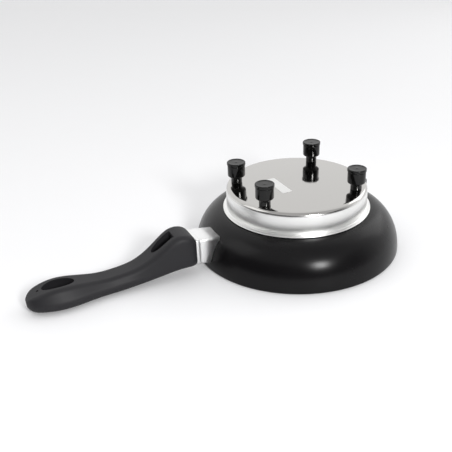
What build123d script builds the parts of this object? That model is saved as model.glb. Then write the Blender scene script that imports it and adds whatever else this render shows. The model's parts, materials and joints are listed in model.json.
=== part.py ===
from build123d import *
import math
import os

# Electric frying pan, stored upside down: the cooking pan rests on its rim and
# the heater base with its four feet points up.
# Origin: on the pan's axis, in the plane of the rim. +Z up. The handle runs
# along -X and the appliance inlet looks along +X. Millimetres throughout.

# Cooking pan, cast
pan_radius = 100.0
pan_height = 40.9
pan_flat_radius = 69.0
pan_wall = 3.0
pan_floor = 4.0
rim_edge_radius = 1.5
rim_inner_edge_radius = 0.6

# Drawn steel base cup
cup_radius = 68.2
cup_depth = 23.3
cup_sheet = 0.8
cup_corner_radius = 4.8
flange_radius = 71.6
flange_gap = 0.8
flange_rise = 2.2

# Feet, studs and inserts
foot_circle_radius = 57.9
handle_side_foot_angle = 149.2
inlet_side_foot_angle = 44.6
foot_height = 21.2
foot_lip_radius = 9.0
foot_body_radius = 8.5
foot_neck_radius = 5.4
foot_neck_height = 5.2
foot_chamfer = 2.2
foot_lip_height = 2.8
foot_notch_height = 0.6
foot_notch_depth = 0.35
foot_face_edge = 0.8
foot_dish_radius = 7.0
foot_dish_depth = 0.4
foot_dot_radius = 0.9
foot_dot_height = 0.25
stud_radius = 2.0
stud_shoulder_radius = 4.0
stud_root_radius = 2.5
stud_root_depth = 2.5
stud_reach = 11.0
stud_hole_clearance = 0.2
thread_clearance = 0.03
insert_radius = 3.2
insert_length = 14.0

# Blank label on the base
label_length = 36.0
label_width = 10.0
label_thickness = 0.15
label_centre_x = -18.5
label_centre_y = 2.0
label_corner_radius = 0.8

# Ferrule between the pan and the grip
ferrule_width = 26.6
ferrule_sheet = 1.0
ferrule_corner_radius = 5.0
ferrule_root_inset = 18.0
ferrule_root_bottom = 8.0
ferrule_root_top = 32.5
ferrule_reach = 12.5
ferrule_end_bottom = 9.8
ferrule_end_top = 36.0
ferrule_gap = 0.2

# Handle screw and the lug that it bites in
screw_wall_distance = 18.5
screw_wall_height = 30.5
screw_tilt = 7.0
screw_radius = 2.0
screw_head_radius = 3.5
screw_head_height = 2.6
screw_drive_radius = 1.4
screw_drive_depth = 1.7
screw_seat_depth = 10.0
screw_length = 27.0
screw_clearance = 0.2
head_bore_radius = 4.0
washer_thickness = 0.8
lug_width = 14.0
lug_thickness = 11.0
lug_face_depth = 27.2
lug_length = 18.0

# Grip: distance from its front face, half width on top, half width below, underside, top
grip_stations = [
    (0.0, 13.4, 14.2, 9.0, 36.4),
    (3.0, 15.0, 15.5, 8.5, 39.5),
    (10.0, 15.5, 16.0, 8.5, 42.0),
    (18.0, 15.0, 15.5, 8.0, 41.5),
    (28.0, 14.0, 15.0, 6.5, 36.0),
    (40.0, 12.5, 14.5, 4.5, 27.5),
    (55.0, 11.0, 14.5, 2.5, 20.0),
    (72.0, 9.5, 15.5, 1.2, 17.0),
    (90.0, 9.0, 17.0, 0.7, 16.5),
    (106.0, 10.0, 19.5, 0.5, 18.5),
    (120.0, 12.0, 20.5, 0.5, 20.0),
    (132.0, 12.5, 19.5, 0.6, 20.0),
    (143.0, 11.5, 17.0, 1.0, 18.0),
    (150.0, 9.0, 13.5, 2.2, 15.6),
    (153.5, 6.0, 9.5, 3.8, 13.2),
    (155.4, 3.2, 5.4, 5.8, 11.0),
]
grip_top_corner_share = 0.35
grip_top_corner_limit = 6.0
grip_low_corner_share = 0.42
grip_low_corner_limit = 7.0
grip_spigot_length = 6.0
grip_spigot_clearance = 0.1
recess_half_width = 6.2
recess_floor_height = 24.6
recess_straight_length = 8.0
recess_length = 21.0
hang_hole_distance = 126.4
hang_hole_length = 29.0
hang_hole_width = 14.6
vent_hole_distance = 144.6
vent_hole_radius = 1.1
vent_hole_floor = 10.0

# Sheathed heating element
element_ring_radius = 42.0
element_radius = 3.2
element_leg_spacing = 18.0
element_bend_radius = 9.0
element_leg_end_x = 56.0
element_pin_radius = 1.2
element_pin_end_x = 59.6
bead_thickness = 1.6
bead_radius = 3.2
element_tab_thickness = 0.8
element_tab_width = 5.0
element_tab_rise = 1.8

# Reflector plate over the element
reflector_margin = 0.8
reflector_sheet = 0.8
centre_boss_radius = 6.0
centre_screw_radius = 2.0
centre_screw_head_radius = 4.0
centre_screw_head_height = 2.4
centre_screw_depth = 4.5

# Thermostat
thermostat_y = -22.0
cap_radius = 8.0
cap_flange_radius = 9.2
cap_flange_thickness = 0.6
cap_height = 4.0
cap_sheet = 0.5
cap_ledge_height = 1.3
cap_ledge_radius = 6.6
disc_radius = 7.0
disc_sheet = 0.3
disc_rise = 0.5
disc_gap = 0.05
guide_thickness = 1.6
guide_hole_clearance = 0.06
pin_radius = 1.0
pin_gap = 0.02
pin_tip_radius = 0.4
pin_tip_height = 0.3
body_radius = 8.0
body_wall = 1.3
body_lid = 1.5
arm_width = 4.0
arm_sheet = 0.3
arm_pivot_x = 5.6
arm_tip_x = -5.4
arm_headroom = 1.8
strip_clearance = 4.1
contact_x = -4.2
contact_radius = 1.3
contact_thickness = 0.8
fixed_contact_radius = 1.5
fixed_contact_thickness = 1.0
terminal_width = 3.2
terminal_sheet = 0.8
terminal_reach = 14.0
arm_seat_gap = 0.1
arm_seat_length = 1.0
clip_length = 34.0
clip_width = 19.0
clip_sheet = 0.8
clip_corner_radius = 3.0
clip_slot_end_margin = 2.0
clip_slot_side_margin = 1.0
clip_slot_corner_radius = 4.0
clip_screw_spacing = 26.0
clip_boss_radius = 3.0
clip_screw_radius = 1.5
clip_screw_head_radius = 2.5
clip_screw_head_height = 1.6
clip_screw_depth = 3.0

# Wiring
lead_radius = 1.1
lead_drop = 1.4
lead_bend_radius = 5.5
fuse_radius = 2.0
fuse_length = 11.0
fuse_start_x = -38.0
neutral_lead_y = 11.0
line_pin_run = 11.0
neutral_pin_run = 10.0
thermostat_line_run = 9.0
thermostat_fuse_run = 8.0
fuse_entry_run = 9.0
neutral_lead_turn = 14.0
neutral_tab_run = 11.0
neutral_tab_turn = 15.0

# Appliance inlet
inlet_width = 29.0
inlet_depth_height = 12.0
inlet_back_x = 47.0
inlet_back_wall = 4.0
inlet_socket_width = 25.0
inlet_socket_height = 8.4
inlet_flange_width = 35.0
inlet_flange_height = 13.8
inlet_flange_proud = 1.9
inlet_fit = 0.2
inlet_corner_radius = 1.5
pin_pitch = 8.0
pin_width = 2.4
pin_thickness = 1.6
pin_tail_x = 42.0
pin_tip_x = 64.0
earth_pin_extra = 2.0
retainer_x = 60.5
retainer_sheet = 0.8
retainer_rim = 2.0

# Earth point
earth_boss_x = 22.0
earth_boss_radius = 4.5
earth_boss_height = 9.1
earth_tag_sheet = 0.8
earth_tag_reach = 10.0
earth_tag_neck_width = 3.6
earth_barrel_length = 5.0
earth_screw_radius = 2.0
earth_screw_head_radius = 3.5
earth_screw_head_height = 2.0
earth_screw_depth = 7.0
boss_hole_margin = 1.5
thread_end_clearance = 0.5

# Worked out from the sizes above
cup_top_height = pan_height + cup_depth
cup_inner_height = cup_top_height - cup_sheet
foot_face_height = cup_top_height + foot_height
ferrule_root_x = pan_radius - ferrule_root_inset
ferrule_end_x = pan_radius + ferrule_reach
grip_front_x = ferrule_end_x
screw_wall_x = grip_front_x + screw_wall_distance
hang_hole_x = grip_front_x + hang_hole_distance
vent_hole_x = grip_front_x + vent_hole_distance
reflector_height = pan_height + 2 * element_radius
reflector_radius = element_ring_radius + element_radius + reflector_margin
thermostat_base = pan_height + cap_height
strip_height = thermostat_base + clip_sheet + clip_screw_head_height + strip_clearance
arm_bottom_height = strip_height + terminal_sheet + fixed_contact_thickness + contact_thickness
body_height = arm_bottom_height + arm_headroom + body_lid - thermostat_base
lead_height = arm_bottom_height - lead_drop
foot_places = [
    ("handle_side_left", handle_side_foot_angle),
    ("handle_side_right", -handle_side_foot_angle),
    ("inlet_side_left", inlet_side_foot_angle),
    ("inlet_side_right", -inlet_side_foot_angle),
]


def disc(radius, height, x, y, z):
    """A cylinder standing on z."""
    return Pos(x, y, z) * extrude(Circle(radius), height)


def ring(outer, inner, height, x, y, z):
    """A flat ring standing on z."""
    return Pos(x, y, z) * extrude(Circle(outer) - Circle(inner), height)


def block(x0, x1, y0, y1, z0, z1):
    """A box between two corners."""
    centre = Pos((x0 + x1) / 2, (y0 + y1) / 2, (z0 + z1) / 2)
    return centre * Box(x1 - x0, y1 - y0, z1 - z0)


def turned(edges):
    """A solid turned about Z from a closed outline of radius and height."""
    return revolve(Plane.XZ * make_face(edges), Axis.Z)


def turned_points(points):
    """A solid turned about Z from straight runs only."""
    return turned(Polyline(points, close=True))


def around(angle):
    """The place on the foot circle at an angle from +X."""
    turn = math.radians(angle)
    return foot_circle_radius * math.cos(turn), foot_circle_radius * math.sin(turn)


def bulge(width, rise):
    """Part of the pan's elliptical side, from the flat floor to the rim."""
    return EllipticalCenterArc(
        (pan_flat_radius, rim_edge_radius), width, rise, start_angle=0, arc_size=90
    )


def pan_envelope(clearance):
    """The full outer form of the pan, grown by a clearance."""
    width = pan_radius - pan_flat_radius + clearance
    rise = pan_height - rim_edge_radius + clearance
    top = pan_height + clearance
    side = pan_radius + clearance
    return turned([
        Line((0, 0), (0, top)),
        Line((0, top), (pan_flat_radius, top)),
        bulge(width, rise),
        Line((side, rim_edge_radius), (side, 0)),
        Line((side, 0), (0, 0)),
    ])


def pan_cavity():
    """The cooking space, open at the rim."""
    width = pan_radius - pan_flat_radius - pan_wall
    rise = pan_height - rim_edge_radius - pan_floor
    inner = pan_radius - pan_wall
    top = pan_height - pan_floor
    return turned([
        Line((0, 0), (0, top)),
        Line((0, top), (pan_flat_radius, top)),
        bulge(width, rise),
        Line((inner, rim_edge_radius), (inner, 0)),
        Line((inner, 0), (0, 0)),
    ])


def screw_line(depth):
    """The tilted handle screw axis, at a depth from the recess wall to the pan."""
    tilt = math.radians(screw_tilt)
    axis = Plane(
        origin=(-screw_wall_x, 0, screw_wall_height),
        x_dir=(0, 1, 0),
        z_dir=(math.cos(tilt), 0, -math.sin(tilt)),
    )
    return axis * Pos(0, 0, depth)


def pan_body():
    """Cast pan with its handle lug and the bosses on its underside."""
    outer = pan_radius
    flat_start = pan_radius - pan_wall + rim_inner_edge_radius
    flat_end = pan_radius - rim_edge_radius
    inner = pan_radius - pan_wall
    inside_top = pan_height - pan_floor
    outer_corner = math.radians(45)
    shell = turned([
        Line((0, inside_top), (0, pan_height)),
        Line((0, pan_height), (pan_flat_radius, pan_height)),
        bulge(outer - pan_flat_radius, pan_height - rim_edge_radius),
        ThreePointArc(
            (outer, rim_edge_radius),
            (flat_end + rim_edge_radius * math.cos(outer_corner),
             rim_edge_radius - rim_edge_radius * math.sin(outer_corner)),
            (flat_end, 0),
        ),
        Line((flat_end, 0), (flat_start, 0)),
        ThreePointArc(
            (flat_start, 0),
            (flat_start - rim_inner_edge_radius * math.cos(outer_corner),
             rim_inner_edge_radius - rim_inner_edge_radius * math.sin(outer_corner)),
            (inner, rim_inner_edge_radius),
        ),
        Line((inner, rim_inner_edge_radius), (inner, rim_edge_radius)),
        bulge(inner - pan_flat_radius, inside_top - rim_edge_radius),
        Line((pan_flat_radius, inside_top), (0, inside_top)),
    ])
    lug = screw_line(lug_face_depth) * extrude(Rectangle(lug_width, lug_thickness), lug_length)
    pan = shell + (lug - pan_cavity())
    pan += disc(centre_boss_radius, reflector_height - pan_height, 0, 0, pan_height)
    pan += disc(earth_boss_radius, earth_boss_height, earth_boss_x, 0, pan_height)
    for side in (-1, 1):
        x = side * clip_screw_spacing / 2
        pan += disc(clip_boss_radius, cap_height, x, thermostat_y, pan_height)
        hole = clip_screw_depth + thread_end_clearance
        top = thermostat_base
        pan -= disc(clip_screw_radius + thread_clearance, hole, x, thermostat_y, top - hole)
    thread = screw_length + screw_seat_depth - lug_face_depth + thread_end_clearance
    pan -= screw_line(lug_face_depth) * extrude(Circle(screw_radius + thread_clearance), thread)
    hole = centre_screw_depth + thread_end_clearance
    pan -= disc(centre_screw_radius + thread_clearance, hole, 0, 0, reflector_height - hole)
    hole = earth_screw_depth + thread_end_clearance
    top = pan_height + earth_boss_height
    pan -= disc(earth_screw_radius + thread_clearance, hole, earth_boss_x, 0, top - hole)
    for name, angle in foot_places:
        x, y = around(angle)
        pan -= disc(stud_root_radius, stud_root_depth, x, y, pan_height - stud_root_depth)
    return pan


def base_cup():
    """One-piece drawn cup: flat bottom, rounded corner, wall and flared flange."""
    corner = math.radians(45)
    flat = cup_radius - cup_corner_radius
    centre_height = cup_top_height - cup_corner_radius
    inner_corner = cup_corner_radius - cup_sheet
    flange_top = pan_height + flange_gap
    bend_height = flange_top + flange_rise
    slope = math.atan2(flange_radius - cup_radius, flange_rise)
    skew_in = cup_sheet * math.cos(slope)
    skew_down = cup_sheet * math.sin(slope)
    inner_bend = bend_height - cup_sheet * math.tan(slope / 2)
    inner_wall = cup_radius - cup_sheet
    cup = turned([
        Line((0, cup_top_height), (flat, cup_top_height)),
        ThreePointArc(
            (flat, cup_top_height),
            (flat + cup_corner_radius * math.cos(corner),
             centre_height + cup_corner_radius * math.sin(corner)),
            (cup_radius, centre_height),
        ),
        Line((cup_radius, centre_height), (cup_radius, bend_height)),
        Line((cup_radius, bend_height), (flange_radius, flange_top)),
        Line((flange_radius, flange_top), (flange_radius - skew_in, flange_top - skew_down)),
        Line((flange_radius - skew_in, flange_top - skew_down), (inner_wall, inner_bend)),
        Line((inner_wall, inner_bend), (inner_wall, centre_height)),
        ThreePointArc(
            (inner_wall, centre_height),
            (flat + inner_corner * math.cos(corner),
             centre_height + inner_corner * math.sin(corner)),
            (flat, cup_inner_height),
        ),
        Line((flat, cup_inner_height), (0, cup_inner_height)),
        Line((0, cup_inner_height), (0, cup_top_height)),
    ])
    for name, angle in foot_places:
        x, y = around(angle)
        hole_foot = cup_inner_height - cup_sheet / 2
        cup -= disc(stud_radius + stud_hole_clearance, 2 * cup_sheet, x, y, hole_foot)
    half = inlet_width / 2 + inlet_fit
    rise = inlet_depth_height / 2 + inlet_fit
    cup -= block(inlet_back_x, flange_radius, -half, half, lead_height - rise, lead_height + rise)
    return cup


def foot(angle):
    """A moulded foot: neck, chamfered head, stepped lip and dished face."""
    base = cup_top_height
    neck_top = base + foot_neck_height
    face = foot_face_height
    lip = face - foot_lip_height
    notch = lip - foot_notch_height
    notch_radius = foot_body_radius - foot_notch_depth
    dish = face - foot_dish_depth
    body = turned_points([
        (0, base),
        (foot_neck_radius, base),
        (foot_neck_radius, neck_top),
        (foot_body_radius, neck_top + foot_chamfer),
        (foot_body_radius, notch),
        (notch_radius, notch),
        (notch_radius, lip),
        (foot_lip_radius, lip),
        (foot_lip_radius, face - foot_face_edge),
        (foot_lip_radius - foot_face_edge, face),
        (foot_dish_radius, face),
        (foot_dish_radius, dish),
        (foot_dot_radius, dish),
        (foot_dot_radius, dish + foot_dot_height),
        (0, dish + foot_dot_height),
    ])
    body -= disc(insert_radius, insert_length, 0, 0, base)
    x, y = around(angle)
    return Pos(x, y, 0) * body


def foot_insert(angle):
    """A brass threaded bush moulded in the foot."""
    x, y = around(angle)
    bore = stud_reach + thread_end_clearance
    bush = disc(insert_radius, insert_length, x, y, cup_top_height)
    return bush - disc(stud_radius + thread_clearance, bore, x, y, cup_top_height)


def base_stud(angle):
    """A shouldered stud rooted in the pan, with its thread through the cup."""
    x, y = around(angle)
    stud = disc(stud_root_radius, stud_root_depth, x, y, pan_height - stud_root_depth)
    stud += disc(stud_shoulder_radius, cup_inner_height - pan_height, x, y, pan_height)
    reach = cup_sheet + stud_reach
    stud += disc(stud_radius, reach, x, y, cup_inner_height)
    return stud


def blank_label():
    """The plain strip on the flat of the base."""
    outline = RectangleRounded(label_width, label_length, label_corner_radius)
    return Pos(label_centre_x, label_centre_y, cup_top_height) * extrude(outline, label_thickness)


def cross_section(x, half_width, bottom, top, corner):
    """A rounded rectangle square to the handle, at a distance x from the axis."""
    plane = Plane(origin=(-x, 0, (bottom + top) / 2), x_dir=(0, 1, 0), z_dir=(-1, 0, 0))
    return plane * RectangleRounded(2 * half_width, top - bottom, corner)


def ferrule_form(inset):
    """The tapered tube of the ferrule, drawn in by an inset."""
    half = ferrule_width / 2 - inset
    corner = ferrule_corner_radius - inset
    root = cross_section(
        ferrule_root_x, half, ferrule_root_bottom + inset, ferrule_root_top - inset, corner
    )
    end = cross_section(
        ferrule_end_x, half, ferrule_end_bottom + inset, ferrule_end_top - inset, corner
    )
    return loft([root, end], ruled=True)


def handle_ferrule():
    """Bright steel tube between the pan and the grip, cut to the pan's side."""
    return ferrule_form(0) - ferrule_form(ferrule_sheet) - pan_envelope(ferrule_gap)


def grip_section(distance, top_half, low_half, bottom, top):
    """A rounded trapezoid square to the grip, narrower on top, low_half at its widest."""
    height = top - bottom
    low_corner = min(grip_low_corner_share * height, grip_low_corner_limit)
    lean = math.atan2(low_half - top_half, height)
    foot_half = low_half + low_corner * (math.tan(math.radians(45) + lean / 2) - 1)
    plane = Plane(origin=(-grip_front_x - distance, 0, 0), x_dir=(0, 1, 0), z_dir=(1, 0, 0))
    outline = make_face(Polyline(
        [(-foot_half, bottom), (foot_half, bottom), (top_half, top), (-top_half, top)], close=True
    ))
    rows = outline.vertices().group_by(Axis.Y)
    outline = fillet(rows[-1], min(grip_top_corner_share * height, grip_top_corner_limit))
    rows = outline.vertices().group_by(Axis.Y)
    outline = fillet(rows[0], low_corner)
    return plane * outline


def handle_grip():
    """Moulded grip with its screw recess, hanging hole and front spigot."""
    sections = [grip_section(*station) for station in grip_stations]
    grip = loft(sections)
    inset = ferrule_sheet + grip_spigot_clearance
    spigot = cross_section(
        grip_front_x,
        ferrule_width / 2 - inset,
        ferrule_end_bottom + inset,
        ferrule_end_top - inset,
        ferrule_corner_radius - inset,
    )
    tilt = math.atan((ferrule_end_top - ferrule_root_top) / (ferrule_end_x - ferrule_root_x))
    slack = grip_spigot_length * math.tan(tilt)
    tip = cross_section(
        grip_front_x - grip_spigot_length,
        ferrule_width / 2 - inset,
        ferrule_end_bottom + inset,
        ferrule_end_top - inset - slack,
        ferrule_corner_radius - inset,
    )
    grip += loft([tip, spigot], ruled=True)
    above = 2 * ferrule_end_top
    bend_x = screw_wall_x + recess_straight_length
    grip -= block(
        -bend_x, -screw_wall_x, -recess_half_width, recess_half_width, recess_floor_height, above
    )
    nose = Ellipse(recess_length - recess_straight_length, recess_half_width)
    nose -= Pos(recess_length, 0) * Rectangle(2 * recess_length, 2 * recess_length)
    grip -= Pos(-bend_x, 0, recess_floor_height) * extrude(nose, above - recess_floor_height)
    grip -= screw_line(0) * extrude(Circle(head_bore_radius), screw_seat_depth)
    through = lug_face_depth - screw_seat_depth
    hole = Circle(screw_radius + screw_clearance)
    grip -= screw_line(screw_seat_depth) * extrude(hole, through)
    height = 2 * ferrule_end_top
    hang = Ellipse(hang_hole_length / 2, hang_hole_width / 2)
    grip -= Pos(-hang_hole_x, 0, -height / 2) * extrude(hang, height)
    grip -= disc(vent_hole_radius, height, -vent_hole_x, 0, vent_hole_floor)
    return grip


def handle_screw():
    """Pan-head screw from the recess, through the grip, into the lug."""
    seat = screw_seat_depth - washer_thickness
    top = screw_line(seat - screw_head_height)
    head = top * extrude(Circle(screw_head_radius), screw_head_height)
    head -= top * extrude(RegularPolygon(screw_drive_radius, 6), screw_drive_depth)
    shank = screw_line(seat) * extrude(Circle(screw_radius), screw_length)
    return head + shank


def handle_washer():
    """Flat washer under the screw head."""
    outline = Circle(screw_head_radius) - Circle(screw_radius + thread_clearance)
    return screw_line(screw_seat_depth - washer_thickness) * extrude(outline, washer_thickness)


def element_path():
    """Centre line of the sheathed element: leg, bend, open ring, bend, leg."""
    half = element_leg_spacing / 2
    reach = element_ring_radius + element_bend_radius
    bend_y = half + element_bend_radius
    bend_x = math.sqrt(reach ** 2 - bend_y ** 2)
    share = element_ring_radius / reach
    join_x = bend_x * share
    join_y = bend_y * share
    start = math.radians(-90)
    end = math.atan2(join_y - bend_y, join_x - bend_x)
    middle = (start + end) / 2
    bend_mid_x = bend_x + element_bend_radius * math.cos(middle)
    bend_mid_y = bend_y + element_bend_radius * math.sin(middle)
    return [
        Line((-element_leg_end_x, half), (-bend_x, half)),
        ThreePointArc((-bend_x, half), (-bend_mid_x, bend_mid_y), (-join_x, join_y)),
        ThreePointArc((-join_x, join_y), (element_ring_radius, 0), (-join_x, -join_y)),
        ThreePointArc((-join_x, -join_y), (-bend_mid_x, -bend_mid_y), (-bend_x, -half)),
        Line((-bend_x, -half), (-element_leg_end_x, -half)),
    ]


def heating_element():
    """Metal-sheathed heating element lying on the pan's underside."""
    path = Pos(0, 0, element_height()) * Wire(element_path())
    start = Plane(origin=path @ 0, z_dir=path % 0)
    return sweep(start * Circle(element_radius), path=path)


def element_height():
    """Height of the element's centre line."""
    return pan_height + element_radius


def element_bead(side):
    """Ceramic bead that closes one end of the sheath."""
    y = side * element_leg_spacing / 2
    place = Pos(-element_leg_end_x, y, element_height()) * Rot(0, -90, 0)
    outline = Circle(bead_radius) - Circle(element_pin_radius + thread_clearance)
    return place * extrude(outline, bead_thickness)


def element_terminal(side):
    """Cold pin with its upright tab."""
    y = side * element_leg_spacing / 2
    place = Pos(-element_leg_end_x, y, element_height()) * Rot(0, -90, 0)
    pin = place * extrude(Circle(element_pin_radius), element_pin_end_x - element_leg_end_x)
    half = element_tab_width / 2
    tab = block(
        -element_pin_end_x - element_tab_thickness, -element_pin_end_x, y - half, y + half,
        element_height() - half, lead_height + element_tab_rise,
    )
    return pin + tab


def reflector_plate():
    """Sheet disc that holds the element down and throws its heat at the pan."""
    plate = disc(reflector_radius, reflector_sheet, 0, 0, reflector_height)
    plate -= disc(centre_screw_radius + stud_hole_clearance, 2 * reflector_sheet, 0, 0, reflector_height)
    reach = earth_boss_radius + boss_hole_margin
    plate -= disc(reach, 2 * reflector_sheet, earth_boss_x, 0, reflector_height)
    slot = RectangleRounded(
        clip_length + 2 * clip_slot_end_margin,
        clip_width + 2 * clip_slot_side_margin,
        clip_slot_corner_radius,
    )
    plate -= Pos(0, thermostat_y, reflector_height) * extrude(slot, 2 * reflector_sheet)
    return plate


def flat_screw(x, y, seat, radius, depth, head_radius, head_height):
    """A slotless round-head screw driven down into a boss."""
    return disc(radius, depth, x, y, seat - depth) + disc(head_radius, head_height, x, y, seat)


def reflector_screw():
    """Screw at the middle of the reflector."""
    seat = reflector_height + reflector_sheet
    depth = centre_screw_depth + reflector_sheet
    return flat_screw(
        0, 0, seat, centre_screw_radius, depth, centre_screw_head_radius, centre_screw_head_height
    )


def thermostat_cap():
    """Aluminium cap that touches the pan and holds the snap disc."""
    top = thermostat_base
    cap = disc(cap_radius, cap_height, 0, thermostat_y, pan_height)
    cap += disc(cap_flange_radius, cap_flange_thickness, 0, thermostat_y, top - cap_flange_thickness)
    floor = pan_height + cap_sheet
    cap -= disc(cap_ledge_radius, cap_height, 0, thermostat_y, floor)
    ledge = pan_height + cap_ledge_height
    cap -= disc(cap_radius - cap_sheet, cap_height, 0, thermostat_y, ledge)
    return cap


def disc_centre_top():
    """Height of the middle of the snap disc's upper side when cold."""
    return pan_height + cap_ledge_height + disc_gap - disc_rise + disc_sheet


def bimetal_disc():
    """Domed snap disc, cold, with its middle low."""
    rim = pan_height + cap_ledge_height + disc_gap
    low = rim - disc_rise
    face = turned_points([
        (0, low),
        (disc_radius, rim),
        (disc_radius, rim + disc_sheet),
        (0, low + disc_sheet),
    ])
    return Pos(0, thermostat_y, 0) * face


def thermostat_guide():
    """Ceramic plate with the hole that guides the pin, on a rim over the disc."""
    top = thermostat_base
    outer = cap_radius - cap_sheet
    hole = pin_radius + guide_hole_clearance
    plate_foot = top - guide_thickness
    plate = ring(outer, hole, guide_thickness, 0, thermostat_y, plate_foot)
    rim_foot = pan_height + cap_ledge_height + 2 * disc_gap + disc_sheet
    rim = ring(outer, cap_ledge_radius, plate_foot - rim_foot, 0, thermostat_y, rim_foot)
    return plate + rim


def thermostat_pin():
    """Ceramic pin between the snap disc and the contact arm."""
    bottom = disc_centre_top() + pin_gap
    top = arm_bottom_height - pin_gap
    pin = turned_points([
        (0, bottom),
        (pin_tip_radius, bottom),
        (pin_radius, bottom + pin_tip_height),
        (pin_radius, top - pin_tip_height),
        (pin_tip_radius, top),
        (0, top),
    ])
    return Pos(0, thermostat_y, 0) * pin


def terminal_strip(side, top):
    """Brass strip through the body wall, on one side of the thermostat."""
    inner = arm_pivot_x - arm_seat_length if side > 0 else -contact_x - fixed_contact_radius
    half = terminal_width / 2
    x0, x1 = sorted((side * inner, side * terminal_reach))
    return block(x0, x1, thermostat_y - half, thermostat_y + half, top - terminal_sheet, top)


def fixed_contact_base():
    """Height of the strip that carries the fixed contact."""
    return arm_bottom_height - contact_thickness - fixed_contact_thickness


def arm_terminal():
    """Strip that carries the contact arm."""
    return terminal_strip(1, arm_bottom_height - arm_seat_gap)


def contact_terminal():
    """Strip that carries the fixed contact."""
    return terminal_strip(-1, fixed_contact_base())


def thermostat_body():
    """Moulded housing over the contacts, closed on top."""
    body = disc(body_radius, body_height, 0, thermostat_y, thermostat_base)
    inside = body_height - body_lid
    body -= disc(body_radius - body_wall, inside, 0, thermostat_y, thermostat_base)
    body -= arm_terminal()
    body -= contact_terminal()
    return body


def contact_arm():
    """Spring leaf that carries the moving contact."""
    half = arm_width / 2
    return block(
        arm_tip_x, arm_pivot_x + arm_sheet, thermostat_y - half, thermostat_y + half,
        arm_bottom_height, arm_bottom_height + arm_sheet,
    )


def moving_contact():
    """Silver button under the arm."""
    bottom = arm_bottom_height - contact_thickness
    return disc(contact_radius, contact_thickness, contact_x, thermostat_y, bottom)


def fixed_contact():
    """Silver button on its strip."""
    height = fixed_contact_thickness - pin_gap
    return disc(fixed_contact_radius, height, contact_x, thermostat_y, fixed_contact_base())


def thermostat_clip():
    """Plate that presses the thermostat's flange on the pan."""
    seat = thermostat_base
    outline = RectangleRounded(clip_length, clip_width, clip_corner_radius)
    plate = Pos(0, thermostat_y, seat) * extrude(outline, clip_sheet)
    plate -= disc(body_radius + guide_hole_clearance, 2 * clip_sheet, 0, thermostat_y, seat)
    for side in (-1, 1):
        x = side * clip_screw_spacing / 2
        plate -= disc(clip_screw_radius + stud_hole_clearance, 2 * clip_sheet, x, thermostat_y, seat)
    return plate


def clip_screw(side):
    """Screw that holds the clip to its boss."""
    seat = thermostat_base + clip_sheet
    depth = clip_screw_depth + clip_sheet
    return flat_screw(
        side * clip_screw_spacing / 2, thermostat_y, seat, clip_screw_radius, depth,
        clip_screw_head_radius, clip_screw_head_height,
    )


def lead(points):
    """A sleeved wire at the lead height along straight runs with rounded corners."""
    places = [(x, y, lead_height) for x, y in points]
    if len(places) == 2:
        path = Line(*places)
    else:
        path = FilletPolyline(*places, radius=lead_bend_radius)
    start = Plane(origin=path @ 0, z_dir=path % 0)
    return sweep(start * Circle(lead_radius), path=path)


def line_lead():
    """From the line pin to the thermostat."""
    return lead([
        (pin_tail_x, -pin_pitch),
        (pin_tail_x - line_pin_run, -pin_pitch),
        (terminal_reach + thermostat_line_run, thermostat_y),
        (terminal_reach, thermostat_y),
    ])


def switched_lead():
    """From the thermostat to the thermal fuse."""
    half = element_leg_spacing / 2
    return lead([
        (-terminal_reach, thermostat_y),
        (-terminal_reach - thermostat_fuse_run, thermostat_y),
        (fuse_start_x + fuse_entry_run, -half),
        (fuse_start_x, -half),
    ])


def thermal_fuse():
    """One-shot fuse in line with the element."""
    place = Pos(fuse_start_x, -element_leg_spacing / 2, lead_height) * Rot(0, -90, 0)
    return place * extrude(Circle(fuse_radius), fuse_length)


def element_lead():
    """From the fuse to the element's tab."""
    half = element_leg_spacing / 2
    return lead([(fuse_start_x - fuse_length, -half), (-element_pin_end_x, -half)])


def neutral_lead():
    """From the neutral pin to the element's other tab."""
    half = element_leg_spacing / 2
    pin_run_end = pin_tail_x - neutral_pin_run
    tab_run_end = -element_pin_end_x + neutral_tab_run
    return lead([
        (pin_tail_x, pin_pitch),
        (pin_run_end, pin_pitch),
        (pin_run_end - neutral_lead_turn, neutral_lead_y),
        (tab_run_end + neutral_tab_turn, neutral_lead_y),
        (tab_run_end, half),
        (-element_pin_end_x, half),
    ])


def earth_tag_end():
    """Where the tag's barrel ends."""
    return earth_boss_x + earth_tag_reach + earth_barrel_length


def earth_lead():
    """From the earth pin to the tag."""
    return lead([(pin_tail_x, 0), (earth_tag_end() - earth_barrel_length / 2, 0)])


def earth_tag():
    """Ring tag with its crimp barrel."""
    seat = pan_height + earth_boss_height
    barrel_x = earth_boss_x + earth_tag_reach - earth_barrel_length / 2
    tag = disc(earth_boss_radius, earth_tag_sheet, earth_boss_x, 0, seat)
    half = earth_tag_neck_width / 2
    tag += block(earth_boss_x, barrel_x + earth_barrel_length, -half, half, seat, seat + earth_tag_sheet)
    tag -= disc(earth_screw_radius + stud_hole_clearance, 2 * earth_tag_sheet, earth_boss_x, 0, seat)
    barrel = Pos(barrel_x, 0, lead_height) * Rot(0, 90, 0) * extrude(
        Circle(lead_height - seat - earth_tag_sheet / 2), earth_barrel_length
    )
    tag += barrel
    tag -= Pos(barrel_x + earth_barrel_length / 2, 0, lead_height) * Rot(0, 90, 0) * extrude(
        Circle(lead_radius), earth_barrel_length
    )
    return tag


def earth_screw():
    """Screw of the earth point."""
    seat = pan_height + earth_boss_height + earth_tag_sheet
    depth = earth_screw_depth + earth_tag_sheet
    return flat_screw(
        earth_boss_x, 0, seat, earth_screw_radius, depth,
        earth_screw_head_radius, earth_screw_head_height,
    )


def inlet_outline(width, height, x0, x1, corner):
    """A rounded block along X about the inlet's middle line."""
    place = Pos(x0, 0, lead_height) * Rot(0, 90, 0)
    return place * extrude(RectangleRounded(height, width, corner), x1 - x0)


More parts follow.
